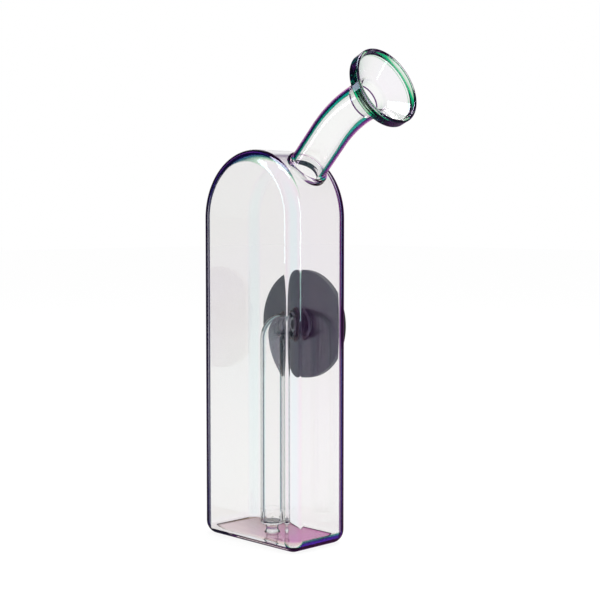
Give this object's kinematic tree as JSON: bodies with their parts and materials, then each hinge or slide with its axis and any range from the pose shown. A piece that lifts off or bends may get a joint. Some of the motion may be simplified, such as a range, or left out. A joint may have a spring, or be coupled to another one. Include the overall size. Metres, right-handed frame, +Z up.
{
  "type": "water bubbler",
  "caption": "Hand-held clear glass water bubbler: arched flat-sided chamber, bent neck with dished mouthpiece, dip tube with slitted tip, and a dark disc bowl plugged into the rear wall.",
  "frame": {"origin": "centre of the base's underside", "axes": "+X along the wide face towards the mouthpiece, +Y through the depth towards the rear wall with the bowl, +Z up"},
  "size_m": [0.0964, 0.0459, 0.1976],
  "materials": {
    "clear_glass": "clear glass with a thin rainbow-coloured film",
    "pink_glass": "pale pink glass with a thin rainbow-coloured film",
    "dark_disc": "satin dark grey anodised",
    "cup_steel": "turned stainless steel",
    "stem_steel": "turned stainless steel",
    "black_silicone": "matt black silicone"
  },
  "bodies": {
    "glass": {"chamber_shell": "clear_glass", "base_plate": "pink_glass", "neck_collar": "clear_glass", "neck_tube": "clear_glass", "mouth_dish": "clear_glass", "mouth_rim": "clear_glass", "joint_socket": "clear_glass", "socket_bead": "clear_glass", "dip_tube": "clear_glass", "diffuser_tip": "clear_glass", "tip_foot": "clear_glass"},
    "seal": {"joint_sleeve": "black_silicone"},
    "bowl": {"bowl_stem": "stem_steel", "bowl_disc": "dark_disc", "bowl_cup": "cup_steel", "bowl_screen": "cup_steel"}
  },
  "joints": [
    {"name": "bowl_pull", "type": "slide", "parent": "glass", "child": "seal", "axis": [0, 1, 0], "range_m": [0, 0.012]},
    {"name": "bowl_turn", "type": "hinge", "parent": "seal", "child": "bowl", "pos_m": [0, 0.0176, 0.0889], "axis": [0, 1, 0], "continuous": true}
  ]
}
